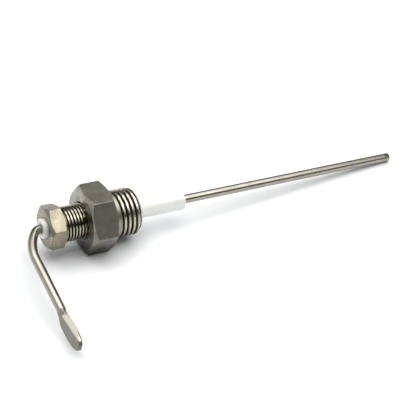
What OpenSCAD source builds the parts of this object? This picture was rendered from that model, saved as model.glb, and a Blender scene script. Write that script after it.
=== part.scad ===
// Flame sensor probe: a long electrode in a ceramic tube, held in a threaded hex fitting by a hollow gland screw.
// The X axis is the probe's own axis. The origin is on it, in the plane of the shoulder that seats on the wall.
// The sensing end points to +X, the terminal leg bends off behind the gland, and the big hex lies on a flat.

/* [Fitting body] */
// Width of the big hex across its flats
hex_af = 17; // [16:0.5:21]
// Length of the big hex along the axis
hex_len = 7.5; // [6:0.1:9]
// Major diameter of the outside thread
thread_d = 13.157; // [12.5:0.001:16]
// Pitch of the outside thread
thread_pitch = 1.337; // [1:0.001:1.5]
// Length from the shoulder to the end of the outside thread
thread_len = 8.1; // [6.5:0.1:10]
// Length of the plain land between the shoulder and the first groove
thread_land = 1.5; // [0.5:0.1:2]

/* [Gland screw] */
// Width of the small hex across its flats
gland_af = 11; // [10.5:0.5:14.5]
// Length of the small hex along the axis
gland_head = 4.4; // [3.5:0.1:5.5]
// Angle of one corner of the small hex, from straight down towards the leg's side
gland_angle = 52; // [0:0.5:59.5]
// Major diameter of the gland thread
gland_d = 9.728; // [8.8:0.001:11.7]
// Pitch of the gland thread
gland_pitch = 0.907; // [0.7:0.001:1.1]
// Length of gland thread left showing between the two hexes
gland_gap = 6.3; // [5:0.1:8]

/* [Packing chamber] */
// Thickness of the wall that closes the chamber at the front
end_wall = 3.1; // [2:0.1:4]
// Thickness of each packing ring
packing_t = 1; // [0.6:0.1:1.5]
// Length of the insulator's collar, between the two packing rings
collar_t = 2.5; // [1.5:0.1:3.5]
// Thickness of the thrust washer under the gland's nose
washer_t = 0.5; // [0.3:0.05:1]
// Length of the gland's plain nose
nose_len = 1.1; // [0.8:0.1:1.5]

/* [Insulator] */
// Outside diameter of the ceramic tube
tube_d = 5.5; // [4.4:0.1:6.6]
// Gap on the radius between the rod and the tube's hole, filled with cement at both ends
cement_gap = 0.2; // [0.1:0.05:0.3]
// Length of each cement plug
cement_len = 3; // [1:0.5:6]
// How far the tube stands out behind the small hex
tube_back = 1.1; // [0.5:0.05:2]
// How far the tube stands out past the end of the outside thread
tube_front = 15.1; // [8:0.1:24]

/* [Electrode] */
// Diameter of the metal rod
rod_d = 2.5; // [2:0.1:3]
// Length of bare rod past the front of the tube
rod_reach = 69.5; // [30:0.5:120]
// Centre-line radius of the tight first part of the bend
bend_r = 2.5; // [2.2:0.1:4]
// Angle turned by the tight first part of the bend
bend_a = 50; // [30:1:60]
// Centre-line radius of the open second part of the bend
sweep_r = 14.4; // [8:0.2:20]
// Whole angle turned by the rod, from the axis to the leg
leg_turn = 89; // [80:1:95]
// Direction of the leg round the axis, from straight down towards -Y
leg_roll = 80.4; // [0:0.1:180]
// Length of the straight round part of the leg
leg_len = 18.3; // [10:0.1:40]
// Small set-back of the flat blade from the line of the leg
blade_turn = 1; // [0:0.5:10]
// Small twist of the blade about the line of the leg
blade_twist = 5; // [0:1:30]
// Length of the flattened terminal blade
blade_len = 13; // [10:0.1:20]
// Length over which the blade widens to its full width
flare_len = 1.5; // [1:0.1:5]
// Length over which the blade thins to its full thinness
press_len = 1; // [0.5:0.1:3]
// Width of the blade
blade_w = 6; // [3.6:0.1:7.2]
// Thickness of the blade
blade_t = 1; // [0.7:0.05:1.3]

/* [Hidden] */
$fn = 64;
eps = 0.01;
// Small gap between faces that meet on different pieces
face_gap = 0.02;
// Running clearance on the radius between a shaft and its hole
run_gap = 0.05;
// Loose clearance on the radius between the ceramic tube and the metal round it
tube_gap = 0.1;
// Depth of a 55 degree thread for one unit of pitch
thread_depth = 0.64;
// Fraction of the width across flats left as the turned circle on a hex end face
hex_face = 0.95;
// Length of the turned lead at the tip of the outside thread
thread_lead = 1;
// Length of the turned lead at the tip of the gland thread
gland_lead = 0.3;
// Size of the bevel at the mouth of the gland's hole in the fitting, and of the tube's hole in the gland
hole_bevel = 0.5;
mouth_bevel = 0.25;
// Size of the bevel on the tube's ends, on its collar and on the rod's tip
tube_bevel = 0.4;
collar_bevel = 0.3;
tip_bevel = 0.25;

// Packing chamber, listed from its floor towards the gland
gland_hole = gland_d + 2 * run_gap;
tube_hole = tube_d + 2 * tube_gap;
chamber_d = gland_d - 2 * thread_depth * gland_pitch - 0.06;
floor_x = thread_len - end_wall;
packing_front_x = floor_x - packing_t;
collar_x = packing_front_x - collar_t;
packing_rear_x = collar_x - packing_t;
washer_x = packing_rear_x - washer_t;
nose_x = washer_x;
chamber_x = nose_x - nose_len + 0.3;

// Gland screw, listed from its nose to its head
head_x = -hex_len - gland_gap;
head_end_x = head_x - gland_head;
nose_d = chamber_d - 0.2;
packing_d = chamber_d - 2 * face_gap;

// Ceramic tube and rod
tube_rear_x = head_end_x - tube_back;
tube_front_x = thread_len + tube_front;
bend_x = tube_rear_x - 0.05;
rod_tip_x = tube_front_x + rod_reach;
tube_bore = rod_d + 2 * cement_gap;
// How far one length of the rod reaches into the next
lap = 0.05;
collar_d = chamber_d - 0.4;

// A solid of revolution about X from a profile of [radius, x] points
module turned(profile) {
    rotate([0, 90, 0])
        rotate_extrude()
            polygon(profile);
}

// A tube along X from x0 to x1
module ring(x0, x1, outer_d, inner_d) {
    turned([
        [inner_d / 2, x0],
        [outer_d / 2, x0],
        [outer_d / 2, x1],
        [inner_d / 2, x1]
    ]);
}

// A hole cutter along X from x0 to x1
module bore(x0, x1, d) {
    translate([x0, 0, 0])
        rotate([0, 90, 0])
            cylinder(d = d, h = x1 - x0);
}

// A cutter that bevels the -X mouth of a hole of diameter d at x0
module mouth(x0, d, bevel) {
    turned([
        [0, x0 - eps],
        [d / 2 + bevel + eps, x0 - eps],
        [d / 2 - eps, x0 + bevel + eps],
        [0, x0 + bevel + eps]
    ]);
}

// A hex prism along X with the corners turned off at both ends, and one corner at the angle given from straight down
module turned_hex(x0, x1, af, corner_angle) {
    corner_r = af / sqrt(3);
    face_r = hex_face * af / 2;
    over_r = corner_r + 0.2;
    drop = (over_r - face_r) * tan(30);
    intersection() {
        translate([x0, 0, 0])
            rotate([0, 90, 0])
                rotate([0, 0, -corner_angle])
                    cylinder(r = corner_r, h = x1 - x0, $fn = 6);
        turned([
            [0, x0],
            [face_r, x0],
            [over_r, x0 + drop],
            [over_r, x1 - drop],
            [face_r, x1],
            [0, x1]
        ]);
    }
}

// Profile points of grooves with 55 degree flanks and flat crests and roots, from x0 towards +X
function grooves(x0, count, pitch, crest_r, root_r) = [
    for (i = [0 : count - 1])
        for (p = [[crest_r, 0], [root_r, 1 / 3], [root_r, 1 / 2], [crest_r, 5 / 6]])
            [p[0], x0 + (i + p[1]) * pitch]
];

module fitting_body() {
    crest_r = thread_d / 2;
    root_r = crest_r - thread_depth * thread_pitch;
    run = thread_len - thread_lead - thread_land;
    count = floor(run / thread_pitch);
    first_x = thread_len - thread_lead - count * thread_pitch;
    color([0.42, 0.42, 0.39])
        difference() {
            union() {
                turned_hex(-hex_len, 0, hex_af, 30);
                turned(concat(
                    [[0, -1], [crest_r, -1]],
                    grooves(first_x, count, thread_pitch, crest_r, root_r),
                    [[crest_r, thread_len - thread_lead], [root_r, thread_len], [0, thread_len]]
                ));
            }
            bore(-hex_len - 1, chamber_x, gland_hole);
            mouth(-hex_len, gland_hole, hole_bevel);
            bore(chamber_x - 1, floor_x, chamber_d);
            bore(floor_x - 1, thread_len + 1, tube_hole);
        }
}

module gland_screw() {
    crest_r = gland_d / 2;
    root_r = crest_r - thread_depth * gland_pitch;
    end_x = nose_x - nose_len;
    count = floor((end_x - head_x - 2 * gland_lead) / gland_pitch);
    first_x = end_x - gland_lead - count * gland_pitch;
    color([0.62, 0.6, 0.53])
        difference() {
            union() {
                turned_hex(head_end_x, head_x, gland_af, gland_angle);
                turned(concat(
                    [[0, head_x - 1], [crest_r, head_x - 1]],
                    grooves(first_x, count, gland_pitch, crest_r, root_r),
                    [[crest_r, end_x - gland_lead], [nose_d / 2, end_x]],
                    [[nose_d / 2, nose_x - face_gap], [0, nose_x - face_gap]]
                ));
            }
            bore(head_end_x - 1, nose_x + 1, tube_hole);
            mouth(head_end_x, tube_hole, mouth_bevel);
        }
}

module thrust_washer() {
    color([0.65, 0.65, 0.63])
        ring(washer_x, washer_x + washer_t - face_gap, nose_d, tube_hole);
}

module packing_rear() {
    color([0.16, 0.16, 0.17])
        ring(packing_rear_x, packing_rear_x + packing_t - face_gap, packing_d, tube_d + 2 * run_gap);
}

module packing_front() {
    color([0.16, 0.16, 0.17])
        ring(packing_front_x, packing_front_x + packing_t - eps, packing_d, tube_d + 2 * run_gap);
}

module insulator() {
    tube_r = tube_d / 2;
    collar_r = collar_d / 2;
    collar_end_x = collar_x + collar_t - face_gap;
    color([0.93, 0.93, 0.9])
        difference() {
            turned([
                [0, tube_rear_x],
                [tube_r - tube_bevel, tube_rear_x],
                [tube_r, tube_rear_x + tube_bevel],
                [tube_r, collar_x],
                [collar_r - collar_bevel, collar_x],
                [collar_r, collar_x + collar_bevel],
                [collar_r, collar_end_x - collar_bevel],
                [collar_r - collar_bevel, collar_end_x],
                [tube_r, collar_end_x],
                [tube_r, tube_front_x - tube_bevel],
                [tube_r - tube_bevel, tube_front_x],
                [0, tube_front_x]
            ]);
            bore(tube_rear_x - 1, tube_front_x + 1, tube_bore);
        }
}

// An arc of rod that starts at the origin along -X and turns by angle towards -Z. It is thinner than the rod by
// the given amount, and reaches into what it joins by the lap at its start and at its end.
module rod_arc(radius, angle, thinner, lap_start, lap_end) {
    start_a = lap_start / radius * 180 / PI;
    end_a = lap_end / radius * 180 / PI;
    translate([0, 0, -radius])
        rotate([90, 0, 0])
            rotate([0, 0, 90 - start_a])
                rotate_extrude(angle = start_a + angle + end_a)
                    translate([radius, 0, 0])
                        circle(d = rod_d - thinner);
}

// The flattened end of the rod, from the origin along +Z, flat across X: it widens as it thins, and its tip is round
module blade() {
    neck = 0.62 * rod_d;
    tip_z = blade_len - blade_w / 2;
    intersection() {
        rotate([0, -90, 0])
            linear_extrude(height = rod_d, center = true)
                union() {
                    polygon([
                        [-1, -neck / 2],
                        [flare_len, -blade_w / 2],
                        [tip_z, -blade_w / 2],
                        [tip_z, blade_w / 2],
                        [flare_len, blade_w / 2],
                        [-1, neck / 2]
                    ]);
                    translate([tip_z, 0])
                        circle(d = blade_w);
                }
        rotate([90, 0, 0])
            linear_extrude(height = blade_w + 1, center = true)
                polygon([
                    [-neck / 2, -1],
                    [neck / 2, -1],
                    [blade_t / 2, press_len],
                    [blade_t / 2, blade_len + 1],
                    [-blade_t / 2, blade_len + 1],
                    [-blade_t / 2, press_len]
                ]);
    }
}

// The straight leg and its blade, from the origin along +Z
module leg() {
    cylinder(d = rod_d, h = leg_len);
    translate([0, 0, leg_len])
        rotate([0, blade_turn, -blade_twist])
            blade();
}

// The bent end of the rod, from the origin along -X: a tight arc, an open arc, the leg and the blade
module bent_end() {
    rod_arc(bend_r, bend_a, 2 * eps, lap, lap);
    translate([0, 0, -bend_r])
        rotate([0, -bend_a, 0])
            translate([0, 0, bend_r]) {
                rod_arc(sweep_r, leg_turn - bend_a, eps, 0, lap);
                translate([0, 0, -sweep_r])
                    rotate([0, bend_a - leg_turn, 0])
                        translate([0, 0, sweep_r])
                            rotate([0, -90, 0])
                                leg();
            }
}

module electrode_rod() {
    rod_r = rod_d / 2;
    color([0.66, 0.66, 0.62])
        rotate([-leg_roll, 0, 0]) {
            turned([
                [0, bend_x],
                [rod_r, bend_x],
                [rod_r, rod_tip_x - tip_bevel],
                [rod_r - tip_bevel, rod_tip_x],
                [0, rod_tip_x]
            ]);
            translate([bend_x, 0, 0])
                bent_end();
        }
}

module cement_rear() {
    color([0.85, 0.83, 0.76])
        ring(tube_rear_x + 0.1, tube_rear_x + cement_len, tube_bore - 2 * eps, rod_d + 2 * eps);
}

module cement_front() {
    color([0.85, 0.83, 0.76])
        ring(tube_front_x - cement_len, tube_front_x - 0.1, tube_bore - 2 * eps, rod_d + 2 * eps);
}

fitting_body();
gland_screw();
thrust_washer();
packing_rear();
packing_front();
insulator();
electrode_rod();
cement_rear();
cement_front();
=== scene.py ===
# %% [markdown]
# # A flame sensor probe
# The real object is a long steel electrode that passes through a white ceramic tube. A threaded hex fitting
# holds the tube, and a hollow gland screw presses packing rings round it, so that no gas leaks past. Behind
# the gland the electrode bends down into a leg with a flattened end for a push-on clip.
#
# The drawing office has already fixed every size and place. This lesson only adds looks: edges that a
# spanner has rounded, real helical threads, a pressed blade, and finishes for steel, ceramic, graphite and
# cement. The fixed model is loaded first, and every new piece takes its place from it.

import math

import bpy
import numpy as np
from mathutils import Matrix, Vector


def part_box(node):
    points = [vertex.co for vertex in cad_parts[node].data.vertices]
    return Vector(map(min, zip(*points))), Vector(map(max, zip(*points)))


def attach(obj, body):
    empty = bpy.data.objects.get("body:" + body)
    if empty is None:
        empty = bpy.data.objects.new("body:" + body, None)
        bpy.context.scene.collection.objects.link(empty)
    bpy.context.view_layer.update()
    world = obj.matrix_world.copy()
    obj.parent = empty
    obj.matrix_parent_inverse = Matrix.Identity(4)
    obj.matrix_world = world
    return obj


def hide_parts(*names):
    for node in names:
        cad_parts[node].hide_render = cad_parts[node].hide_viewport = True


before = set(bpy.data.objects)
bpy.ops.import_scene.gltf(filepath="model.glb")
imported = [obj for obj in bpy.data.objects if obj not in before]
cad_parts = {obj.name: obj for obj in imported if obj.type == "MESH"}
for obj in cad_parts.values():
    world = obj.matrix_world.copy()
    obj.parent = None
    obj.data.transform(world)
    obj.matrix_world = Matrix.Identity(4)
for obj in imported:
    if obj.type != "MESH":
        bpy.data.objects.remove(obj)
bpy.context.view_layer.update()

# %% [markdown]
# ## Sizes
# The probe's axis is the X axis, and the shoulder that seats on the wall is at X = 0. All sizes below are
# in millimetres. Lengths that the fixed model can tell are asked from it, so that the looks can never drift
# away from it.

# %% sizes
MM = 0.001


def span(node, axis):
    """The lowest and highest coordinate of a node of the fixed model along one axis, in mm."""
    low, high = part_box(node)
    return low[axis] / MM, high[axis] / MM


hex_back_x, thread_end_x = span("fitting_body", 0)
hex_flats = span("fitting_body", 2)[1] * 2
gland_back_x, gland_nose_x = span("gland_screw", 0)
tube_back_x, tube_front_x = span("insulator", 0)
rod_tip_x = span("electrode_rod", 0)[1]

groove_depth = 0.64  # of a thread, over its pitch
thread_r = 13.157 / 2
thread_pitch = 1.337
root_r = thread_r - groove_depth * thread_pitch
gland_r = 9.728 / 2
gland_pitch = 0.907
gland_flats = 11
gland_head = 4.4
gland_front_x = gland_back_x + gland_head
hex_corner = 30  # degrees, where the first ridge of the big hex stands
gland_corner = 52
tube_r = 2.75
rod_r = 1.25
tube_hole_r = tube_r + 0.1
chamber_r = gland_r - groove_depth * gland_pitch - 0.03
print("hex", round(hex_flats, 2), "mm over flats, thread ends at", round(thread_end_x, 2))

# %% [markdown]
# ## The camera
# The probe lies on a table, seen from behind and above, with the bent leg nearest. Because the fitting is
# thicker than the rod, the probe lies nose down. Its own frame stays level here, so the table is tilted
# against the X axis instead, and the camera is turned by nearly the same angle. A long lens from less than
# half a metre keeps the perspective mild.

# %% camera
tilt = Matrix.Rotation(math.radians(-4.81), 3, "Y")
azimuth, elevation, roll = (math.radians(v) for v in (-29.99, 37.82, 3.55))
back = Vector((math.sin(azimuth) * math.cos(elevation),
               -math.cos(azimuth) * math.cos(elevation),
               math.sin(elevation)))
right = Vector((math.cos(azimuth), math.sin(azimuth), 0))
up = back.cross(right)
right, up = right * math.cos(roll) + up * math.sin(roll), up * math.cos(roll) - right * math.sin(roll)
to_right, upwards, distance = 26.93, 2.68, 416.21  # of the camera from the origin, mm
place = (right * to_right + up * upwards + back * distance) * MM

camera = bpy.data.objects.new("camera", bpy.data.cameras.new("camera"))
camera.data.sensor_width = 36
camera.data.lens = 134.34
camera.data.clip_start, camera.data.clip_end = 0.01, 20
bpy.context.scene.collection.objects.link(camera)
turn = Matrix((tilt @ right, tilt @ up, tilt @ back)).transposed()
camera.matrix_world = Matrix.Translation(tilt @ place) @ turn.to_4x4()
bpy.context.scene.camera = camera
bpy.context.scene.view_settings.view_transform = "Standard"
print("camera at", [round(v, 3) for v in camera.location])

# %% [markdown]
# ## A small tool for nodes
# Shaders and Geometry Nodes trees are both built from nodes. One function adds a node, sets what it is
# given, and links it to nodes that are already there. A second one turns the hex colours that designers
# write into the linear numbers that a renderer adds up.

# %% node and colour tools
def add(tree, kind, inputs=None, **settings):
    """Adds a node. Each input is a value, or the output of another node that it is linked to."""
    node = tree.nodes.new(kind)
    for name, value in settings.items():
        setattr(node, name, value)
    for socket, value in (inputs or {}).items():
        if isinstance(value, bpy.types.NodeSocket):
            tree.links.new(value, node.inputs[socket])
        else:
            node.inputs[socket].default_value = value
    return node


def linear(hex_colour):
    """An sRGB colour such as #c8c4b8 as linear red, green, blue and alpha."""
    parts = [int(hex_colour[i:i + 2], 16) / 255 for i in (1, 3, 5)]
    return [v / 12.92 if v <= 0.04045 else ((v + 0.055) / 1.055) ** 2.4 for v in parts] + [1.0]


# %% [markdown]
# ## Turning on a lathe
# The fitting, the gland and the ceramic tube are all turned: a profile goes round an axis. Blender's Spin
# would do it, but a hex bar isn't round, so this small lathe asks a function for the radius at each angle.
# The profile is a closed loop of points that runs along the outside and back through the hole, which leaves
# no pole to close. Angles run from straight down towards -Y.

# %% lathe
def lathe(name, profile, angles, outline=None):
    """A closed mesh from a loop of [x, radius] points turned about X.

    The outline limits the radius at each angle."""
    x, r = np.array(profile, float).T
    rings, columns = len(x), len(angles)
    radius = np.repeat(r[:, None], columns, 1)
    if outline is not None:
        radius = outline(x[:, None], radius, angles[None, :])
    points = np.stack([np.repeat(x[:, None], columns, 1),
                       -radius * np.sin(angles), -radius * np.cos(angles)], -1) * MM
    i, j = np.meshgrid(np.arange(rings), np.arange(columns), indexing="ij")
    a, b = i * columns + j, i * columns + (j + 1) % columns
    c, d = (i + 1) % rings * columns + (j + 1) % columns, (i + 1) % rings * columns + j
    faces = np.stack([a, b, c, d], -1).reshape(-1, 4)
    mesh = bpy.data.meshes.new(name)
    mesh.from_pydata(points.reshape(-1, 3).tolist(), [], faces.tolist())
    piece = bpy.data.objects.new(name, mesh)
    bpy.context.scene.collection.objects.link(piece)
    return piece


def volume(mesh):
    """Enclosed volume in cubic mm, which is below zero if the faces point inwards."""
    mesh.calc_loop_triangles()
    corners = np.zeros(len(mesh.loop_triangles) * 3, int)
    mesh.loop_triangles.foreach_get("vertices", corners)
    points = np.zeros(len(mesh.vertices) * 3)
    mesh.vertices.foreach_get("co", points)
    a, b, c = points.reshape(-1, 3)[corners.reshape(-1, 3)].transpose(1, 0, 2)
    return float((a * np.cross(b, c)).sum() / 6 / MM ** 3)


def finish_mesh(piece, sharp_angle=32):
    """Turns the faces outwards if need be, and shades them smooth except over sharp edges."""
    mesh = piece.data
    if volume(mesh) < 0:
        mesh.flip_normals()
    mesh.polygons.foreach_set("use_smooth", [True] * len(mesh.polygons))
    mesh.set_sharp_from_angle(angle=math.radians(sharp_angle))
    mesh.update()
    print(piece.name, len(mesh.loop_triangles), "triangles,", round(volume(mesh), 1), "mm3")


# %% [markdown]
# ## The hexagon
# A hexagon's side stands at half the width over flats divided by the cosine of the angle from its middle.
# The six ridges of a real bar are rounded a little, so near a corner the distance follows a small circle
# instead. The turned bevel at each end is a cone, and where the cone is nearer to the axis than the
# hexagon, the cone wins. That gives the curved lines that every turned nut shows on its flats.

# %% hexagon outline
def hexagon(angle, flats, corner, ridge):
    """Distance in mm from the axis to a hexagon with rounded ridges, one of them at 'corner' degrees."""
    sixth = math.radians(60)
    centre = (flats / 2 - ridge) / math.cos(sixth / 2)
    off = (angle - math.radians(corner) + sixth / 2) % sixth - sixth / 2
    reach = math.atan2(ridge * 0.5, centre + ridge * math.cos(sixth / 2))
    on_flat = flats / 2 / np.cos(sixth / 2 - np.abs(off))
    on_ridge = centre * np.cos(off) + np.sqrt(np.maximum(ridge ** 2 - (centre * np.sin(off)) ** 2, 0))
    return np.where(np.abs(off) < reach, on_ridge, on_flat)


def softer_min(a, b, blend):
    """The smaller of two lengths, with the change from one to the other rounded over 'blend' mm."""
    h = np.maximum(blend - np.abs(a - b), 0) / blend
    return np.minimum(a, b) - h * h * blend / 4


def hex_angles(corner):
    """Angles round the axis, close together at the six ridges so that they stay crisp."""
    near = np.array([0, 0.12, 0.25, 0.38, 0.6, 1.0, 1.7, 2.7])
    half = np.concatenate([near, np.arange(4.2, 30, 1.52)])
    sector = np.concatenate([-half[:0:-1], half])
    return np.radians(np.sort(np.concatenate([corner + 60 * k + sector for k in range(6)]) % 360))


def bevel_rings(end_x, face_r, top_r, direction, count=24):
    """Rings of a turned bevel, from the end face to past the ridges."""
    slope = math.tan(math.radians(30))
    return [[end_x + direction * (r - face_r) * slope, r] for r in np.linspace(face_r, top_r, count)]


print("angles round the hex bar:", len(hex_angles(hex_corner)))

# %% [markdown]
# ## Threads that really wind
# A thread is one groove that winds round the screw, and nothing suits a rule like that better than Geometry
# Nodes. The tree takes any turned piece and asks each point two things: how far along the axis it is, and
# at what angle. Together they say how far the point is from the middle of the groove, and the nearer it is,
# the deeper it sinks. Pitch, depth, crest and the place where the groove runs out are named inputs, so one
# tree cuts both threads. It also leaves two marks on each point, which the steel uses later: the root mark
# is 0 on the crest and 1 in the root, where the steel paints shade, and cut is 1 beyond the run-out.

# %% groove tree
def groove_tree():
    """Builds the Geometry Nodes tree that cuts a right-hand thread round X into a turned piece."""
    tree = bpy.data.node_groups.new("wind a groove", "GeometryNodeTree")
    face = tree.interface
    face.new_socket("Piece", in_out="INPUT", socket_type="NodeSocketGeometry")
    for name in ("Pitch", "Depth", "Crest radius", "First groove", "Runs out at", "Run-out length"):
        face.new_socket(name, in_out="INPUT", socket_type="NodeSocketFloat")
    face.new_socket("Material", in_out="INPUT", socket_type="NodeSocketMaterial")
    face.new_socket("Threaded piece", in_out="OUTPUT", socket_type="NodeSocketGeometry")
    given = add(tree, "NodeGroupInput").outputs

    place = add(tree, "GeometryNodeInputPosition").outputs[0]
    x, y, z = add(tree, "ShaderNodeSeparateXYZ", {0: place}).outputs
    flat = add(tree, "ShaderNodeCombineXYZ", {1: y, 2: z}).outputs[0]
    radius = add(tree, "ShaderNodeVectorMath", {0: flat}, operation="LENGTH").outputs["Value"]
    angle = add(tree, "ShaderNodeMath", {0: z, 1: y}, operation="ARCTAN2").outputs[0]
    turns = add(tree, "ShaderNodeMath", {0: angle, 1: 2 * math.pi}, operation="DIVIDE").outputs[0]
    along = add(tree, "ShaderNodeMath", {0: x, 1: given["First groove"]}, operation="SUBTRACT").outputs[0]
    pitches = add(tree, "ShaderNodeMath", {0: along, 1: given["Pitch"]}, operation="DIVIDE").outputs[0]
    phase = add(tree, "ShaderNodeMath", {0: pitches, 1: turns}, operation="SUBTRACT").outputs[0]
    part = add(tree, "ShaderNodeMath", {0: phase}, operation="FRACT").outputs[0]
    centred = add(tree, "ShaderNodeMath", {0: part, 1: 0.5}, operation="SUBTRACT").outputs[0]
    folded = add(tree, "ShaderNodeMath", {0: centred}, operation="ABSOLUTE").outputs[0]
    # in pitches from the middle of the crest: the crest ends at 0.18 and the root starts at 0.42
    shape = add(tree, "ShaderNodeMapRange", {"Value": folded, "From Min": 0.18, "From Max": 0.42},
                interpolation_type="SMOOTHSTEP").outputs[0]
    depth = add(tree, "ShaderNodeMath", {0: shape, 1: given["Depth"]}, operation="MULTIPLY").outputs[0]
    floor = add(tree, "ShaderNodeMath", {0: given["Crest radius"], 1: depth}, operation="SUBTRACT").outputs[0]
    above = add(tree, "ShaderNodeMath", {0: radius, 1: floor}, operation="SUBTRACT").outputs[0]
    excess = add(tree, "ShaderNodeMath", {0: above, 1: 0.0, 2: 0.03 * MM}, operation="SMOOTH_MAX").outputs[0]
    full_at = add(tree, "ShaderNodeMath", {0: given["Runs out at"], 1: given["Run-out length"]}).outputs[0]
    fade = add(tree, "ShaderNodeMapRange",
               {"Value": x, "From Min": given["Runs out at"], "From Max": full_at},
               interpolation_type="SMOOTHSTEP").outputs[0]
    sink = add(tree, "ShaderNodeMath", {0: excess, 1: fade}, operation="MULTIPLY").outputs[0]
    outward = add(tree, "ShaderNodeVectorMath", {0: flat}, operation="NORMALIZE").outputs[0]
    minus = add(tree, "ShaderNodeMath", {0: sink, 1: -1.0}, operation="MULTIPLY").outputs[0]
    move = add(tree, "ShaderNodeVectorMath", {0: outward, "Scale": minus}, operation="SCALE").outputs[0]
    deep = add(tree, "ShaderNodeMath", {0: sink, 1: given["Depth"]}, operation="DIVIDE").outputs[0]

    # the root mark, 0 on the crest and 1 deep in the groove, where the steel paints shade
    root_marked = add(tree, "GeometryNodeStoreNamedAttribute",
                 {"Geometry": given["Piece"], "Name": "root_shade_and_scale", "Value": deep},
                 data_type="FLOAT", domain="POINT").outputs[0]
    marked = add(tree, "GeometryNodeStoreNamedAttribute",
                 {"Geometry": root_marked, "Name": "cut", "Value": fade},
                 data_type="FLOAT", domain="POINT").outputs[0]
    moved = add(tree, "GeometryNodeSetPosition", {"Geometry": marked, "Offset": move}).outputs[0]
    real = add(tree, "GeometryNodeRealizeInstances", {0: moved}).outputs[0]
    painted = add(tree, "GeometryNodeSetMaterial",
                  {"Geometry": real, "Material": given["Material"]}).outputs[0]
    add(tree, "NodeGroupOutput", {0: painted})
    return tree


wind_a_groove = groove_tree()
print("groove tree:", len(wind_a_groove.nodes), "nodes")


def run_tree(piece, tree, inputs):
    """Runs a Geometry Nodes tree on a piece with the named inputs, and keeps the result as a plain mesh."""
    modifier = piece.modifiers.new(tree.name, "NODES")
    modifier.node_group = tree
    sockets = {s.name: s.identifier for s in tree.interface.items_tree if s.in_out == "INPUT"}
    for name, value in inputs.items():
        modifier[sockets[name]] = value
    shaped = piece.evaluated_get(bpy.context.evaluated_depsgraph_get())
    mesh = bpy.data.meshes.new_from_object(shaped)
    piece.modifiers.clear()
    piece.data = mesh
    mesh.name = piece.name
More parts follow.
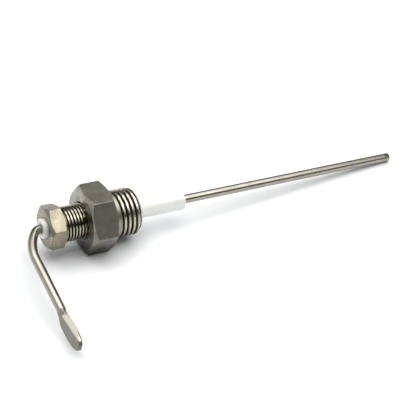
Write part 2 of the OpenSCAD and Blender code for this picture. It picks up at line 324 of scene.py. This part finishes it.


# %% [markdown]
# ## Steel
# Four pieces are steel: the fitting and the gland are turned from bar, the washer is stamped, and the
# electrode is drawn wire. Bare steel has no colour of its own beyond a warm grey mirror, so what tells them
# apart is how the tool left the surface. A lathe leaves fine rings on a face, and a drawing die leaves
# straight lines along a flat or a wire. One function mixes both, and the object's own normal says which of
# the two a place shows. Roots of threads are painted darker, which is painted shade in the grooves along
# with a film of cutting oil, and the film also makes them duller. The lower side of each piece is painted
# darker too, which is painted shade. The pressed blade keeps a thin dull scale, except on its facet, which
# the jaws rubbed bright.

# %% steel
def steel(name, colour, dark, roughness, rings, lines, line_mm, dull=0.1, shade_and_scale_darkness=0.85, underside_shade=0.0, fresh=0.0):
    """Bare steel. Rings and lines are the depths of the tool marks, and line_mm is how far apart they are.

    Of the last three, the first is how dark thread roots are painted, as shade along with their oil film,
    and how dark the blade's scale is; the second is how dark the lower side is painted as shade; and fresh is
    how bright the places are that were cut or rubbed last."""
    material = bpy.data.materials.new(name)
    material.use_nodes = True
    tree = material.node_tree
    shader = tree.nodes["Principled BSDF"]
    shader.inputs["Metallic"].default_value = 1.0
    place = add(tree, "ShaderNodeTexCoord").outputs
    x, y, z = add(tree, "ShaderNodeSeparateXYZ", {0: place["Object"]}).outputs
    flat = add(tree, "ShaderNodeCombineXYZ", {1: y, 2: z}).outputs[0]
    radius = add(tree, "ShaderNodeVectorMath", {0: flat}, operation="LENGTH").outputs["Value"]
    facing = add(tree, "ShaderNodeSeparateXYZ", {0: place["Normal"]}).outputs[0]
    side_on = add(tree, "ShaderNodeMath", {0: facing}, operation="ABSOLUTE").outputs[0]
    on_face = add(tree, "ShaderNodeMapRange",
                  {"Value": side_on, "From Min": 0.45, "From Max": 0.8}).outputs[0]

    # turning marks: one noise that only knows the radius
    ring_mark = add(tree, "ShaderNodeTexNoise", {"W": radius, "Scale": 1 / (line_mm * MM), "Detail": 2.0},
                    noise_dimensions="1D").outputs["Fac"]
    # drawing marks: noise squeezed across the bar and stretched 40 times along it
    along = add(tree, "ShaderNodeMath", {0: x, 1: 0.025}, operation="MULTIPLY").outputs[0]
    squeezed = add(tree, "ShaderNodeCombineXYZ", {0: along, 1: y, 2: z}).outputs[0]
    line_mark = add(tree, "ShaderNodeTexNoise",
                    {"Vector": squeezed, "Scale": 1 / (line_mm * MM), "Detail": 3.0}).outputs["Fac"]
    ring_high = add(tree, "ShaderNodeMath", {0: ring_mark, 1: rings}, operation="MULTIPLY").outputs[0]
    line_high = add(tree, "ShaderNodeMath", {0: line_mark, 1: lines}, operation="MULTIPLY").outputs[0]
    height = add(tree, "ShaderNodeMix", {"Factor": on_face, "A": line_high, "B": ring_high}).outputs[0]
    bump = add(tree, "ShaderNodeBump", {"Height": height, "Strength": 1.0, "Distance": 0.02 * MM})
    tree.links.new(bump.outputs[0], shader.inputs["Normal"])

    # handling marks: soft clouds about 3 mm across, in colour and in gloss
    cloud = add(tree, "ShaderNodeTexNoise", {"Vector": place["Object"], "Scale": 1 / (3 * MM), "Detail": 4.0}
                ).outputs["Fac"]
    cloudy = add(tree, "ShaderNodeMapRange", {"Value": cloud, "From Min": 0.35, "From Max": 0.65}).outputs[0]
    # painted shade: the root mark darkens thread roots, along with their oil film; on the blade the same mark
    # is its real scale
    root = add(tree, "ShaderNodeAttribute", attribute_name="root_shade_and_scale").outputs["Fac"]
    # painted shade: the lower side of the piece is darkened, more the lower it lies
    underside = add(tree, "ShaderNodeMapRange",
                    {"Value": z, "From Min": 1 * MM, "From Max": -8 * MM, "To Max": underside_shade},
                    interpolation_type="SMOOTHSTEP").outputs[0]
    shade_and_scale_mix = add(tree, "ShaderNodeMath", {0: root, 1: shade_and_scale_darkness, 2: underside}, operation="MULTIPLY_ADD",
                use_clamp=True).outputs[0]
    base = add(tree, "ShaderNodeMix", {"Factor": cloudy, "A": linear(colour), "B": linear(dark)},
               data_type="RGBA")
    # what was cut or rubbed last is brighter and smoother than the skin of the bar
    cut = add(tree, "ShaderNodeAttribute", attribute_name="cut").outputs["Fac"]
    bright = add(tree, "ShaderNodeMath", {0: cut, 1: fresh}, operation="MULTIPLY").outputs[0]
    metal = add(tree, "ShaderNodeMix", {"Factor": bright, "A": base.outputs[2], "B": linear("#dedac9")},
                data_type="RGBA")
    # painted shade towards near-black in thread roots and on the lower side; on the blade this is its scale
    tint = add(tree, "ShaderNodeMix", {"Factor": shade_and_scale_mix, "A": metal.outputs[2], "B": linear("#1c1914")},
               data_type="RGBA")
    tree.links.new(tint.outputs[2], shader.inputs["Base Color"])
    rough = add(tree, "ShaderNodeMapRange",
                {"Value": cloud, "From Min": 0.3, "From Max": 0.7,
                 "To Min": roughness, "To Max": roughness + dull}).outputs[0]
    root_marked = add(tree, "ShaderNodeMath", {0: root, 1: 0.15, 2: rough}, operation="MULTIPLY_ADD").outputs[0]
    rougher = add(tree, "ShaderNodeMath", {0: cut, 1: -0.1, 2: root_marked}, operation="MULTIPLY_ADD").outputs[0]
    tree.links.new(rougher, shader.inputs["Roughness"])
    return material


fitting_steel = steel("turned_bar_steel", "#a3a197", "#817f76", 0.30, 1.0, 0.6, 0.12, underside_shade=0.8, fresh=0.5)
bright_steel = steel("bright_turned_steel", "#928c7b", "#7d7868", 0.24, 1.0, 0.5, 0.10, underside_shade=0.5, fresh=0.3)
drawn_steel = steel("drawn_wire_steel", "#a19e93", "#97948b", 0.18, 0.3, 0.3, 0.08,
                    dull=0.06, shade_and_scale_darkness=0.42, fresh=0.9)
stamped_steel = steel("stamped_washer_steel", "#a4a39e", "#949389", 0.30, 0.8, 0.8, 0.15)
print("steels:", [m.name for m in bpy.data.materials if "steel" in m.name])

# %% [markdown]
# ## Ceramic, graphite and cement
# The tube is alumina, pressed as powder and fired: pure white, dense, with a satin skin and a few faint
# specks. The packing rings are pressed graphite, dark with a soft metallic sheen. The plugs at the tube's
# ends are a fired cement, off-white and chalky. All three are grainy, so each gets a noise of its own grain
# size.

# %% ceramic, graphite, cement
def grainy(name, colour, speck, grain_mm, roughness, ior, metallic, bump_mm):
    """A pressed or fired powder: grains in colour, gloss and height."""
    material = bpy.data.materials.new(name)
    material.use_nodes = True
    tree = material.node_tree
    shader = tree.nodes["Principled BSDF"]
    shader.inputs["Metallic"].default_value = metallic
    shader.inputs["IOR"].default_value = ior
    place = add(tree, "ShaderNodeTexCoord").outputs["Object"]
    grain = add(tree, "ShaderNodeTexNoise", {"Vector": place, "Scale": 1 / (grain_mm * MM), "Detail": 4.0}
                ).outputs["Fac"]
    few = add(tree, "ShaderNodeMapRange", {"Value": grain, "From Min": 0.55, "From Max": 0.75}).outputs[0]
    base = add(tree, "ShaderNodeMix", {"Factor": few, "A": linear(colour), "B": linear(speck)},
               data_type="RGBA")
    tree.links.new(base.outputs[2], shader.inputs["Base Color"])
    rough = add(tree, "ShaderNodeMapRange",
                {"Value": grain, "From Min": 0.3, "From Max": 0.7,
                 "To Min": roughness - 0.06, "To Max": roughness + 0.06}).outputs[0]
    tree.links.new(rough, shader.inputs["Roughness"])
    bump = add(tree, "ShaderNodeBump", {"Height": grain, "Strength": 1.0, "Distance": bump_mm * MM})
    tree.links.new(bump.outputs[0], shader.inputs["Normal"])
    return material


alumina = grainy("fired_alumina", "#eceeea", "#dfe1dc", 0.5, 0.34, 1.76, 0.0, 0.01)
graphite = grainy("pressed_graphite", "#26262a", "#3a3a3e", 0.3, 0.5, 1.5, 0.3, 0.02)
cement = grainy("fired_cement", "#dcd8cb", "#c6c1b2", 0.25, 0.8, 1.55, 0.0, 0.04)
print("powders:", [m.name for m in (alumina, graphite, cement)])

# %% [markdown]
# ## The fitting body
# A hex bar is put in a lathe, one end is turned down and threaded, and both end faces of the hex are
# bevelled. The profile below follows the outside from the back face to the front, then comes back through
# the holes: the small one for the ceramic tube, the packing chamber, and the wide one that takes the gland
# screw.

# %% fitting body
def even(x0, x1, step):
    """Evenly spaced values from x0 to x1, both included."""
    return np.linspace(x0, x1, max(2, int(round(abs(x1 - x0) / step)) + 1))


hex_face_r = 0.95 * hex_flats / 2
past_ridge = hex_flats / math.sqrt(3) + 0.1
hole_r = gland_r + 0.05
front_wall = 3.1
chamber_floor_x = thread_end_x - front_wall
nose_in_chamber = 0.78
chamber_back_x = gland_nose_x - nose_in_chamber
lead = 1.0
lead_x = thread_end_x - lead
hex_ridge_r, gland_ridge_r = 0.12, 0.1
bevel_blend = 0.05
back_bevel = bevel_rings(hex_back_x, hex_face_r, past_ridge, 1)
front_bevel = bevel_rings(0, hex_face_r, past_ridge, -1)[::-1]

# the rings between a hole and a bevel only divide a flat face, so their radii needn't be exact
profile = [[hex_back_x, r] for r in (hole_r + 0.5, hole_r + 0.6, 6.4, 7.2, hex_face_r - 0.05)]
profile += back_bevel
profile += [[x, past_ridge] for x in even(back_bevel[-1][0], front_bevel[0][0], 0.7)[1:-1]]
profile += front_bevel
profile += [[0, r] for r in (hex_face_r - 0.05, 7.4, thread_r + 0.12)] + [[0.03, thread_r + 0.03]]
profile += [[x, thread_r] for x in even(0.12, lead_x, thread_pitch / 16)]
profile += [[lead_x + t * lead, thread_r - t * (thread_r - root_r)] for t in np.linspace(0, 1, 15)[1:]]
profile += [[thread_end_x, r] for r in (root_r - 0.08, 4.6, 3.4, tube_hole_r + 0.15)]
profile += [[thread_end_x - 0.15, tube_hole_r], [chamber_floor_x, tube_hole_r]]
profile += [[chamber_floor_x, chamber_r - 0.1], [chamber_floor_x - 0.1, chamber_r]]
profile += [[chamber_back_x, chamber_r], [chamber_back_x, hole_r]]
profile += [[hex_back_x + 0.5, hole_r]]


def fitting_outline(x, radius, angle):
    """The hex bar shows from the back face to the shoulder, and everything else is round."""
    bar = hexagon(angle, hex_flats, hex_corner, hex_ridge_r)
    return np.where((x <= 0) & (radius > hole_r + 1), softer_min(radius, bar, bevel_blend), radius)


body = lathe("fitting_body_turned", profile, hex_angles(hex_corner), fitting_outline)
run_tree(body, wind_a_groove, {
    "Pitch": thread_pitch * MM, "Depth": groove_depth * thread_pitch * MM, "Crest radius": thread_r * MM,
    "First groove": 1.5 * MM, "Runs out at": 1.3 * MM, "Run-out length": 0.7 * MM, "Material": fitting_steel})
finish_mesh(body)

# %% [markdown]
# ## The gland screw
# The gland is a smaller hex with a finer thread and a hole right through for the ceramic tube. It is turned
# from a brighter bar, and its hex stands at its own angle, because it stopped wherever it was tight.

# %% gland screw
gland_face_r = 0.95 * gland_flats / 2
gland_past = gland_flats / math.sqrt(3) + 0.1
plain_nose = 1.08
gland_end_x = gland_nose_x - plain_nose
back_bevel = bevel_rings(gland_back_x, gland_face_r, gland_past, 1)
front_bevel = bevel_rings(gland_front_x, gland_face_r, gland_past, -1)[::-1]

profile = [[gland_back_x, r] for r in (tube_hole_r + 0.25, tube_hole_r + 0.35, 4.0, 5.0, gland_face_r - 0.04)]
profile += back_bevel
profile += [[x, gland_past] for x in even(back_bevel[-1][0], front_bevel[0][0], 0.6)[1:-1]]
profile += front_bevel
profile += [[gland_front_x, r] for r in (gland_face_r - 0.04, 5.3, gland_r + 0.08)]
profile += [[gland_front_x + 0.03, gland_r + 0.02]]
profile += [[x, gland_r] for x in even(gland_front_x + 0.09, gland_end_x - 0.3, gland_pitch / 16)]
profile += [[gland_end_x, chamber_r - 0.1], [gland_nose_x - 0.1, chamber_r - 0.1]]
profile += [[gland_nose_x, chamber_r - 0.2]]
profile += [[gland_nose_x, tube_hole_r], [gland_back_x + 0.25, tube_hole_r]]


def gland_outline(x, radius, angle):
    """The small hex shows on the head, and everything else is round."""
    bar = hexagon(angle, gland_flats, gland_corner, gland_ridge_r)
    on_head = (x <= gland_front_x) & (radius > tube_hole_r + 1)
    return np.where(on_head, softer_min(radius, bar, bevel_blend), radius)


gland = lathe("gland_screw_turned", profile, hex_angles(gland_corner), gland_outline)
run_tree(gland, wind_a_groove, {
    "Pitch": gland_pitch * MM, "Depth": groove_depth * gland_pitch * MM, "Crest radius": gland_r * MM,
    "First groove": (gland_front_x + 0.3) * MM, "Runs out at": (gland_front_x + 0.1) * MM,
    "Run-out length": 0.4 * MM, "Material": bright_steel})
finish_mesh(gland)

# %% [markdown]
# ## The ceramic tube
# The tube is pressed with a collar that the packing rings grip. A fired edge is never sharp, so each rim is
# a quarter circle. The wire comes out of its back end through a plug of cement.

# %% ceramic tube
bore_r = rod_r + 0.2
packing_len, collar_len = 1, 2.5
collar_x = chamber_floor_x - packing_len - collar_len
collar_end_x = collar_x + collar_len - 0.02
collar_r = chamber_r - 0.2
rim_r = 0.4


def rim(end_x, inwards):
    """A quarter circle of rings, from the end face to the tube's full radius."""
    return [[end_x + inwards * rim_r * (1 - math.cos(t)), tube_r - rim_r + rim_r * math.sin(t)]
            for t in np.linspace(0, math.pi / 2, 9)]


profile = [[tube_back_x, bore_r + 0.1], [tube_back_x, 1.8]]
profile += rim(tube_back_x, 1)
profile += [[x, tube_r] for x in even(tube_back_x + 2, collar_x, 3)]
profile += [[collar_x, collar_r - 0.3], [collar_x + 0.3, collar_r]]
profile += [[collar_end_x - 0.3, collar_r], [collar_end_x, collar_r - 0.3]]
profile += [[x, tube_r] for x in even(collar_end_x, tube_front_x - 2, 3)]
profile += rim(tube_front_x, -1)[::-1]
profile += [[tube_front_x, 1.8], [tube_front_x, bore_r + 0.1], [tube_front_x - 0.1, bore_r]]
profile += [[x, bore_r] for x in even(tube_front_x - 3, tube_back_x + 3, 6)]
profile += [[tube_back_x + 0.1, bore_r]]
tube = lathe("insulator_fired", profile, np.radians(np.arange(0, 360, 3.0)))
tube.data.materials.append(alumina)
finish_mesh(tube)

# %% [markdown]
# ## The electrode
# One length of wire makes the sensing rod, the bend, the leg and the blade. Its centre line is worked out
# first: a straight run, a tight bend, a wider bend, a straight leg, and a blade with a small twist. A press
# squeezes the end flat, which makes it thin one way and wide the other. So each point of the line carries
# marks: how far its lower and upper edges stand out, its half thickness, which way the width lies, where
# the facet starts, and how much scale lies on it. Geometry Nodes sweep a circle along the line and squeeze
# it by the marks.

# %% electrode centre line
bend_x = tube_back_x - 0.05
leg_way = Vector((0, -math.sin(math.radians(80.4)), -math.cos(math.radians(80.4))))
across = Vector((1, 0, 0)).cross(leg_way)
marks = {name: [] for name in ("lower", "upper", "thin", "facet", "root_shade_and_scale")}
line, side = [], []


def mark(point, lower=rod_r, upper=rod_r, half_thickness=rod_r, width_way=across, facet=9.0, root_shade_and_scale=0.0):
    """Adds one point of the centre line, in mm, with the marks that the sweep reads there."""
    line.append(tuple(point * MM))
    side.append(tuple(width_way))
    for name, value in zip(marks, (lower * MM, upper * MM, half_thickness * MM, facet * MM, root_shade_and_scale)):
        marks[name].append(value)


def heading(degrees):
    """The direction of the wire after it has turned by an angle from the axis towards the leg."""
    return Vector((-1, 0, 0)) * math.cos(math.radians(degrees)) + leg_way * math.sin(math.radians(degrees))


for inset, size in ((0, rod_r - 0.25), (0.06, rod_r - 0.14), (0.14, rod_r - 0.05), (0.25, rod_r)):
    mark(Vector((rod_tip_x - inset, 0, 0)), size, size, size)
for x in even(rod_tip_x - 2, bend_x, 2.0):
    mark(Vector((x, 0, 0)))
point, turned = Vector((bend_x, 0, 0)), 0.0
for radius, whole in ((2.5, 50), (14.4, 39)):  # of each bend, in mm and in degrees
    steps = round(whole / 2)
    for _ in range(steps):
        half = math.radians(whole / steps / 2)
        turned += whole / steps / 2
        point = point + heading(turned) * (2 * radius * math.sin(half))
        turned += whole / steps / 2
        mark(point)
leg_len, leg_steps = 17.3, 12
for _ in range(leg_steps):
    point = point + heading(turned) * (leg_len / leg_steps)
    mark(point)
print("leg ends at", [round(v, 2) for v in point + heading(turned)])

# %% [markdown]
# The press leaves a steep shoulder where it stops. The jaws weren't square to the bend, so the blade is
# twisted by five degrees and its outline is a lopsided leaf: the lower edge swells at once and the upper
# edge only later. For the same reason a slanting facet runs along the upper edge. Towards the tip the rings
# come closer and closer together.

# %% blade
blade_len, blade_thin = 13.0, 0.5  # the second is half of its thickness
lower_width, upper_width = 3.5, 2.65
lower_widest, upper_widest = 4, 8  # how far along the blade, in mm
root_extra = 0.14  # half thickness that the blade still has to lose behind the shoulder
blade_start = point + heading(turned)
blade_way = heading(turned - 1)
blade_twist = math.radians(5)
blade_side = across * math.cos(blade_twist) - blade_way.cross(across) * math.sin(blade_twist)


def smooth(t):
    """Rises from 0 to 1 with a level start and a level end."""
    t = min(max(t, 0.0), 1.0)
    return t * t * (3 - 2 * t)


def lower_edge(s):
    """How far the lower edge stands from the line, in mm, at s mm along the blade."""
    if s > lower_widest:
        return lower_width * math.sqrt(max(1 - ((s - lower_widest) / (blade_len - lower_widest)) ** 2, 0))
    return rod_r + (lower_width - rod_r) * math.sin(math.pi / 2 * min(max((s + 0.5) / 3.2, 0), 1))


def upper_edge(s):
    """The same for the upper edge."""
    if s > upper_widest:
        return upper_width * max(1 - ((s - upper_widest) / (blade_len - upper_widest)) ** 2.5, 0) ** 0.4
    return rod_r + (upper_width - rod_r) * smooth((s - 0.8) / 7)


runs = [*even(-0.5, 1.6, 0.1), *even(1.8, 7.8, 0.3)]
runs += [upper_widest + (blade_len - upper_widest) * math.sin(a)
         for a in np.linspace(0, math.radians(86), 28)]
for s in runs:
    pressed = rod_r + (blade_thin + root_extra - rod_r) * smooth((s + 0.2) / 0.4)
    pressed -= root_extra * smooth(s / 1.2)
    pressed *= 1 - 0.35 * smooth((s - blade_len + 0.5) / 0.5)  # the last half millimetre is thinned
    way, lies = (heading(turned), across) if s < 0 else (blade_way, blade_side)
    # the facet starts just below the middle line at the shoulder, and ever nearer the upper edge
    facet = 0.1 + 0.2 * (s - 3.8) if s > 1.5 else 9.0
    mark(blade_start + way * s, lower_edge(s), upper_edge(s), pressed, lies, facet, smooth((s + 0.1) / 0.4))
print("centre line:", len(line), "points, tip at", [round(v / MM, 2) for v in line[-1]])

# %% [markdown]
# ## Sweep and press
# The tree turns the line into a curve and sweeps a circle along it. Each point of the wire then knows the
# middle of its own ring and which way the width lies. From that it works out how far across and how far
# through it sits, and both are squeezed by the marks. One smooth tube without a seam comes out, from the
# rod's tip to the blade's.

# %% electrode tree
def press_tree():
    """Builds the tree that sweeps a circle along a marked line and squeezes it by the marks."""
    tree = bpy.data.node_groups.new("sweep and press", "GeometryNodeTree")
    face = tree.interface
    face.new_socket("Line", in_out="INPUT", socket_type="NodeSocketGeometry")
    for name in ("Wire radius", "Facet slope", "Least edge"):
        face.new_socket(name, in_out="INPUT", socket_type="NodeSocketFloat")
    face.new_socket("Sides", in_out="INPUT", socket_type="NodeSocketInt")
    face.new_socket("Material", in_out="INPUT", socket_type="NodeSocketMaterial")
    face.new_socket("Wire", in_out="OUTPUT", socket_type="NodeSocketGeometry")
    given = add(tree, "NodeGroupInput").outputs

    path = add(tree, "GeometryNodeMeshToCurve", {0: given["Line"]}).outputs[0]
    way = add(tree, "GeometryNodeInputTangent").outputs[0]
    centre = add(tree, "GeometryNodeInputPosition").outputs[0]
    kept_way = add(tree, "GeometryNodeStoreNamedAttribute", {"Geometry": path, "Name": "way", "Value": way},
                   data_type="FLOAT_VECTOR", domain="POINT").outputs[0]
    kept = add(tree, "GeometryNodeStoreNamedAttribute",
               {"Geometry": kept_way, "Name": "centre", "Value": centre},
               data_type="FLOAT_VECTOR", domain="POINT").outputs[0]
    circle = add(tree, "GeometryNodeCurvePrimitiveCircle",
                 {"Resolution": given["Sides"], "Radius": given["Wire radius"]}).outputs[0]
    wire = add(tree, "GeometryNodeCurveToMesh",
               {"Curve": kept, "Profile Curve": circle, "Fill Caps": True}).outputs[0]

    kinds = {"way": "FLOAT_VECTOR", "centre": "FLOAT_VECTOR", "side": "FLOAT_VECTOR"}
    had = {name: add(tree, "GeometryNodeInputNamedAttribute", {"Name": name},
                     data_type=kinds.get(name, "FLOAT")).outputs[0]
           for name in (*kinds, "lower", "upper", "thin", "facet", "root_shade_and_scale")}
    place = add(tree, "GeometryNodeInputPosition").outputs[0]
    off = add(tree, "ShaderNodeVectorMath", {0: place, 1: had["centre"]}, operation="SUBTRACT").outputs[0]
    through = add(tree, "ShaderNodeVectorMath", {0: had["way"], 1: had["side"]},
                  operation="CROSS_PRODUCT").outputs[0]
    u = add(tree, "ShaderNodeVectorMath", {0: off, 1: had["side"]}, operation="DOT_PRODUCT").outputs["Value"]
    v = add(tree, "ShaderNodeVectorMath", {0: off, 1: through}, operation="DOT_PRODUCT").outputs["Value"]
    share = add(tree, "ShaderNodeMath", {0: u, 1: given["Wire radius"]}, operation="DIVIDE").outputs[0]
    down = add(tree, "ShaderNodeMath", {0: share, 1: 0.0}, operation="MAXIMUM").outputs[0]
    lifted = add(tree, "ShaderNodeMath", {0: share, 1: 0.0}, operation="MINIMUM").outputs[0]
    up_part = add(tree, "ShaderNodeMath", {0: lifted, 1: had["upper"]}, operation="MULTIPLY").outputs[0]
    new_u = add(tree, "ShaderNodeMath", {0: down, 1: had["lower"], 2: up_part},
                operation="MULTIPLY_ADD").outputs[0]
    # the facet sinks the near side from a line on, and stops before it cuts through
    beyond = add(tree, "ShaderNodeMath", {0: new_u, 1: had["facet"]}, operation="ADD").outputs[0]
    falls = add(tree, "ShaderNodeMath", {0: beyond, 1: given["Facet slope"]}, operation="MULTIPLY").outputs[0]
    drop = add(tree, "ShaderNodeMath", {0: falls, 1: 0.0}, operation="MINIMUM").outputs[0]
    near = add(tree, "ShaderNodeMath", {0: had["thin"], 1: drop}, operation="ADD").outputs[0]
    kept_near = add(tree, "ShaderNodeMath", {0: near, 1: given["Least edge"]}, operation="MAXIMUM").outputs[0]
    least = add(tree, "ShaderNodeMath", {0: kept_near, 1: -1.0}, operation="MULTIPLY").outputs[0]
    new_v = add(tree, "ShaderNodeClamp", {"Value": v, "Min": least, "Max": had["thin"]}).outputs[0]
    off_facet = add(tree, "ShaderNodeMapRange",
                    {"Value": drop, "From Min": 0.0, "From Max": -0.08 * MM, "To Min": 1.0, "To Max": 0.0}
                    ).outputs[0]
    dull = add(tree, "ShaderNodeMath", {0: had["root_shade_and_scale"], 1: off_facet}, operation="MULTIPLY").outputs[0]
    shine = add(tree, "ShaderNodeMath", {0: had["root_shade_and_scale"], 1: dull}, operation="SUBTRACT").outputs[0]
    part_u = add(tree, "ShaderNodeVectorMath", {0: had["side"], "Scale": new_u}, operation="SCALE").outputs[0]
    part_v = add(tree, "ShaderNodeVectorMath", {0: through, "Scale": new_v}, operation="SCALE").outputs[0]
    offset = add(tree, "ShaderNodeVectorMath", {0: part_u, 1: part_v}, operation="ADD").outputs[0]
    target = add(tree, "ShaderNodeVectorMath", {0: had["centre"], 1: offset}, operation="ADD").outputs[0]
    # the facet's shine is worked out from the blade's scale mark, so it is stored before that mark changes
    rubbed = add(tree, "GeometryNodeStoreNamedAttribute",
                 {"Geometry": wire, "Name": "cut", "Value": shine},
                 data_type="FLOAT", domain="POINT").outputs[0]
    scaled = add(tree, "GeometryNodeStoreNamedAttribute",
                 {"Geometry": rubbed, "Name": "root_shade_and_scale", "Value": dull},
                 data_type="FLOAT", domain="POINT").outputs[0]
    pressed = add(tree, "GeometryNodeSetPosition", {"Geometry": scaled, "Position": target}).outputs[0]
    real = add(tree, "GeometryNodeRealizeInstances", {0: pressed}).outputs[0]
    painted = add(tree, "GeometryNodeSetMaterial",
                  {"Geometry": real, "Material": given["Material"]}).outputs[0]
    add(tree, "NodeGroupOutput", {0: painted})
    return tree


line_mesh = bpy.data.meshes.new("electrode_rod_drawn")
line_mesh.from_pydata(line, [(i, i + 1) for i in range(len(line) - 1)], [])
for name, values in marks.items():
    line_mesh.attributes.new(name, "FLOAT", "POINT").data.foreach_set("value", values)
line_mesh.attributes.new("side", "FLOAT_VECTOR", "POINT").data.foreach_set("vector", np.ravel(side))
rod = bpy.data.objects.new("electrode_rod_drawn", line_mesh)
bpy.context.scene.collection.objects.link(rod)
run_tree(rod, press_tree(), {
    "Wire radius": rod_r * MM, "Facet slope": 0.45, "Least edge": -0.35 * MM, "Sides": 96,
    "Material": drawn_steel})
finish_mesh(rod, 40)

# %% [markdown]
# ## Everything in its place
# Each new piece rides on the body that carries it in the fixed model, and stands for the plain solid there.
# The washer, the packing rings and the cement are hardly seen, and their plain shapes are already right, so
# they only get their finish.

# %% join the looks to the model
for piece, rides_on, stands_for, finish in (
    (body, "fitting", "fitting_body", "body_steel"),
    (gland, "gland", "gland_screw", "gland_steel"),
    (tube, "electrode", "insulator", "alumina"),
    (rod, "electrode", "electrode_rod", "rod_steel"),
):
    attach(piece, rides_on)
    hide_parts(stands_for)
for node, material in (
    ("thrust_washer", stamped_steel),
    ("packing_rear", graphite),
    ("packing_front", graphite),
    ("cement_rear", cement),
    ("cement_front", cement),
):
    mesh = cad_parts[node].data
    mesh.materials.clear()
    mesh.materials.append(material)

# %% [markdown]
# ## The table
# The probe rests on two places: the front edge of the big hex and the underside of the rod's tip. The table
# is a plane just below both. It is a plain pale surface, and from below it isn't drawn, so that a camera
# that goes low still sees the probe.

# %% table
slope = (-rod_r + hex_flats / 2) / rod_tip_x
table_gap = 0.03
table_r, backdrop_low, backdrop_high = 3.0, -1.0, 0.35  # metres
table_corners = 64
print("the table rises", round(math.degrees(math.atan(slope)), 2), "degrees towards the rod's tip")


def pale(name, near, far):
    """Matt white paper that turns plain white between two distances from the probe, in metres."""
    paper = bpy.data.materials.new(name)
    paper.use_nodes = True
    tree = paper.node_tree
    tree.nodes.clear()
    ray = add(tree, "ShaderNodeLightPath").outputs
    direct = add(tree, "ShaderNodeMath", {0: ray["Is Camera Ray"], 1: ray["Is Glossy Ray"]},
                 operation="MAXIMUM")
    seen = add(tree, "ShaderNodeMath", {0: direct.outputs[0], 1: ray["Is Transmission Ray"]},
               operation="MAXIMUM")
    place = add(tree, "ShaderNodeTexCoord").outputs["Object"]
    away = add(tree, "ShaderNodeVectorMath", {0: place}, operation="LENGTH").outputs["Value"]
    far_off = add(tree, "ShaderNodeMapRange", {"Value": away, "From Min": near, "From Max": far},
                  interpolation_type="SMOOTHSTEP")
    share = add(tree, "ShaderNodeMath", {0: far_off.outputs[0], 1: seen.outputs[0]}, operation="MULTIPLY")
    matt = add(tree, "ShaderNodeBsdfDiffuse", {"Color": linear("#f8faff")})
    white = add(tree, "ShaderNodeEmission", {"Strength": 1.0})
    both = add(tree, "ShaderNodeMixShader", {0: share.outputs[0], 1: matt.outputs[0], 2: white.outputs[0]})
    under = add(tree, "ShaderNodeNewGeometry").outputs["Backfacing"]
    clear = add(tree, "ShaderNodeBsdfTransparent")
    shown = add(tree, "ShaderNodeMixShader", {0: under, 1: both.outputs[0], 2: clear.outputs[0]})
    add(tree, "ShaderNodeOutputMaterial", {0: shown.outputs[0]})
    return paper


def staged(name, points, faces, material):
    """A mesh that belongs to the stage and not to the probe."""
    mesh = bpy.data.meshes.new(name)
    mesh.from_pydata(points, [], faces)
    mesh.materials.append(material)
    piece = bpy.data.objects.new(name, mesh)
    bpy.context.scene.collection.objects.link(piece)


round_edge = [(table_r * math.cos(a), table_r * math.sin(a))
              for a in np.linspace(0, 2 * math.pi, table_corners + 1)[:-1]]
staged("table", [(x, y, slope * x - (hex_flats / 2 + table_gap) * MM) for x, y in round_edge],
       [tuple(range(table_corners))], pale("matt_paper", 0.15, 0.6))
after = [(i + 1) % table_corners for i in range(table_corners)]
staged("backdrop", [(x, y, z) for z in (backdrop_low, backdrop_high) for x, y in round_edge],
       [(i, i + table_corners, j + table_corners, j) for i, j in enumerate(after)],
       pale("white_card", 0.1, 0.2))

# %% [markdown]
# ## Light
# Metal shows its surroundings more than its own colour. One wide soft box hangs overhead and gives every
# upward curve a broad warm highlight. Round the table stand white cards, which is how small metal parts are
# lit: each is a soft patch of light in the world, and what lies between them stays dark. The cards put the
# bright streaks along the rod and the dark bands beside them. Each card is a direction, the angle at which
# it fades out, and a strength.

# %% light
def soft_box(name, way, distance, width, height, power, colour):
    """A square lamp that faces the origin from a direction."""
    lamp = bpy.data.objects.new(name, bpy.data.lights.new(name, "AREA"))
    lamp.data.shape = "RECTANGLE"
    lamp.data.size, lamp.data.size_y = width, height
    lamp.data.energy = power
    lamp.data.color = colour
    lamp.location = Vector(way).normalized() * distance
    lamp.rotation_euler = Vector(way).to_track_quat("Z", "Y").to_euler()
    bpy.context.scene.collection.objects.link(lamp)


soft_box("overhead", (0.05, 0.0, 1.0), 1.2, 1.56, 1.44, 16.5, (1.0, 0.98, 0.93))

cards = [((-0.23, 0.41, 0.88), 30, 1.52), ((0.23, -0.41, 0.88), 30, 1.45), ((-0.76, 0.28, 0.59), 30, 0.67),
         ((-0.75, 0.63, 0.21), 26, 0.62), ((0.62, -0.52, 0.59), 30, 0.49), ((-0.40, 0.70, 0.59), 30, 0.42),
         ((0.23, 0.41, 0.88), 30, 0.34), ((0.62, 0.52, 0.59), 30, 0.29)]
room = bpy.data.worlds.new("room")
room.use_nodes = True
bpy.context.scene.world = room
tree = room.node_tree
looking = add(tree, "ShaderNodeTexCoord").outputs["Generated"]
level = 0.0
full_within = 5  # degrees
for way, fades_out, strength in cards:
    near = add(tree, "ShaderNodeVectorMath", {0: looking, 1: Vector(way).normalized()},
               operation="DOT_PRODUCT").outputs["Value"]
    patch = add(tree, "ShaderNodeMapRange",
                {"Value": near, "From Min": math.cos(math.radians(fades_out)),
                 "From Max": math.cos(math.radians(full_within))},
                interpolation_type="SMOOTHSTEP")
    level = add(tree, "ShaderNodeMath", {0: patch.outputs[0], 1: strength, 2: level},
                operation="MULTIPLY_ADD").outputs[0]
tree.links.new(level, tree.nodes["Background"].inputs["Strength"])
tree.nodes["Background"].inputs["Color"].default_value = (1, 1, 0.98, 1)
print("white cards:", len(cards))
